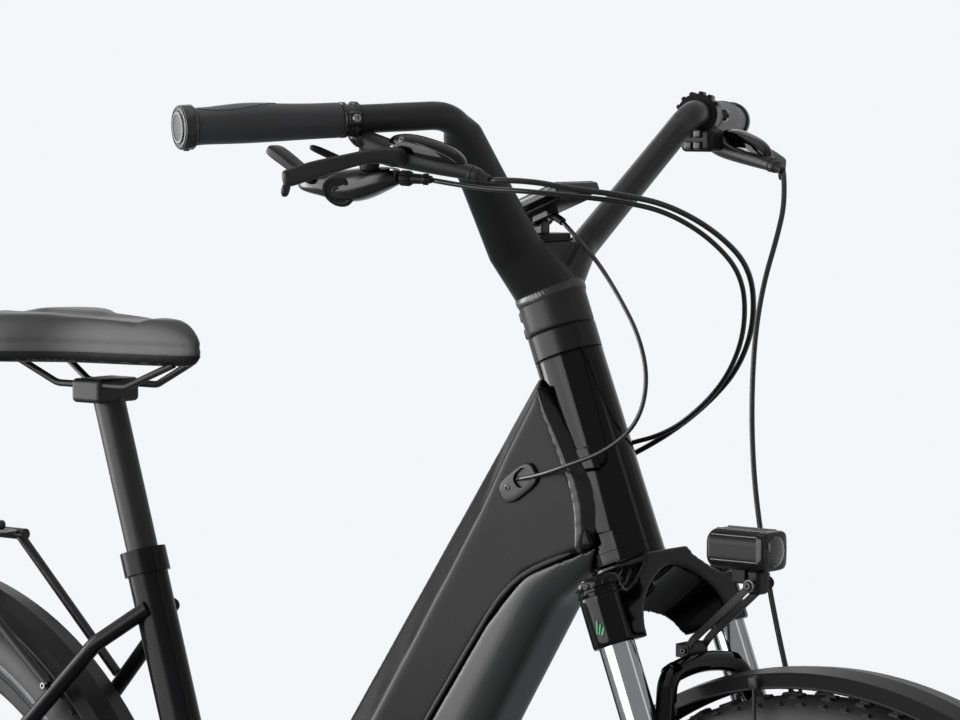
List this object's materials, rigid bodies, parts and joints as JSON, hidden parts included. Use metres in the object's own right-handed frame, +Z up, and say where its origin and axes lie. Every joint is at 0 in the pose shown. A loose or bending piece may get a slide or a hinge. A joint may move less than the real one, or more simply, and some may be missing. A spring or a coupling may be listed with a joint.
{
  "type": "step-through electric bicycle",
  "caption": "Step-through electric bicycle with a deep beam frame, mid drive, suspension fork, welded V handlebar, disc brakes, mudguards, rack and centre stand.",
  "frame": {"origin": "on the ground, midway between the front and rear extremes and the two grips", "axes": "+X forward, +Y to the rider's left, +Z up"},
  "size_m": [1.8619, 0.8102, 1.2091],
  "materials": {
    "frame_gloss": "gloss black paint",
    "frame_charcoal": "satin charcoal paint",
    "battery_matte": "fine matt cover",
    "satin_black": "satin black anodised",
    "black_plastic": "matt moulded",
    "gloss_plastic": "gloss moulded",
    "grip_rubber": "patterned rubber",
    "tyre_rubber": "tyre rubber",
    "hose": "smooth sheath",
    "steel": "brushed",
    "chrome": "hard chrome",
    "saddle_cover": "soft cover",
    "red_lens": "lens"
  },
  "bodies": {
    "frame": {"head_tube": "frame_gloss", "down_tube": "frame_charcoal", "battery": "battery_matte", "drive_unit": "black_plastic", "seat_tube": "frame_charcoal", "seat_post": "satin_black", "saddle": "saddle_cover", "seat_stay_right": "frame_charcoal", "seat_stay_left": "frame_charcoal", "chain_stay_right": "frame_charcoal", "chain_stay_left": "frame_charcoal", "rear_axle": "steel", "cable_port_right": "black_plastic", "cable_port_left": "black_plastic", "rack": "satin_black", "rear_light": "red_lens", "rear_mudguard": "black_plastic", "derailleur": "satin_black", "chain": "steel", "rear_caliper": "satin_black", "rear_brake_hose": "hose", "shift_cable": "hose", "display_cable": "hose"},
    "steering": {"stem_spacer": "satin_black", "handlebar": "satin_black", "grip_right": "grip_rubber", "grip_left": "grip_rubber", "lever_right": "satin_black", "lever_left": "satin_black", "shifter": "black_plastic", "remote": "black_plastic", "display": "gloss_plastic", "fork_crown": "frame_gloss", "fork_stanchions": "chrome", "fork_lowers": "frame_gloss", "headlight": "black_plastic", "headlight_bracket": "satin_black", "front_mudguard": "black_plastic", "front_caliper": "satin_black", "front_axle": "steel", "front_brake_hose": "hose"},
    "front_wheel": {"front_tyre": "tyre_rubber", "front_rim": "satin_black", "front_hub": "satin_black", "front_disc": "steel"},
    "rear_wheel": {"rear_tyre": "tyre_rubber", "rear_rim": "satin_black", "rear_hub": "satin_black", "rear_disc": "steel", "cassette": "steel"},
    "crank": {"crank_right": "satin_black", "crank_left": "satin_black", "chainring": "satin_black"},
    "pedal_right": {"pedal_right": "black_plastic"},
    "pedal_left": {"pedal_left": "black_plastic"},
    "stand": {"stand": "satin_black"}
  },
  "joints": [
    {"name": "steer", "type": "hinge", "parent": "frame", "child": "steering", "pos_m": [0.3625, 0, 0.7963], "axis": [-0.3584, 0, 0.9336], "range_deg": [-45, 45], "deforming": ["rear_brake_hose", "shift_cable", "display_cable"]},
    {"name": "front_wheel_spin", "type": "hinge", "parent": "steering", "child": "front_wheel", "pos_m": [0.581, 0, 0.35], "axis": [0, 1, 0], "continuous": true},
    {"name": "rear_wheel_spin", "type": "hinge", "parent": "frame", "child": "rear_wheel", "pos_m": [-0.559, 0, 0.35], "axis": [0, 1, 0], "continuous": true},
    {"name": "crank_spin", "type": "hinge", "parent": "frame", "child": "crank", "pos_m": [-0.097, 0, 0.3], "axis": [0, 1, 0], "continuous": true},
    {"name": "pedal_right_spin", "type": "hinge", "parent": "crank", "child": "pedal_right", "pos_m": [0.073, 0, 0.3], "axis": [0, 1, 0], "continuous": true},
    {"name": "pedal_left_spin", "type": "hinge", "parent": "crank", "child": "pedal_left", "pos_m": [-0.267, 0, 0.3], "axis": [0, 1, 0], "continuous": true},
    {"name": "stand_fold", "type": "hinge", "parent": "frame", "child": "stand", "pos_m": [-0.17, 0, 0.255], "axis": [0, 1, 0], "range_deg": [0, 65]}
  ]
}
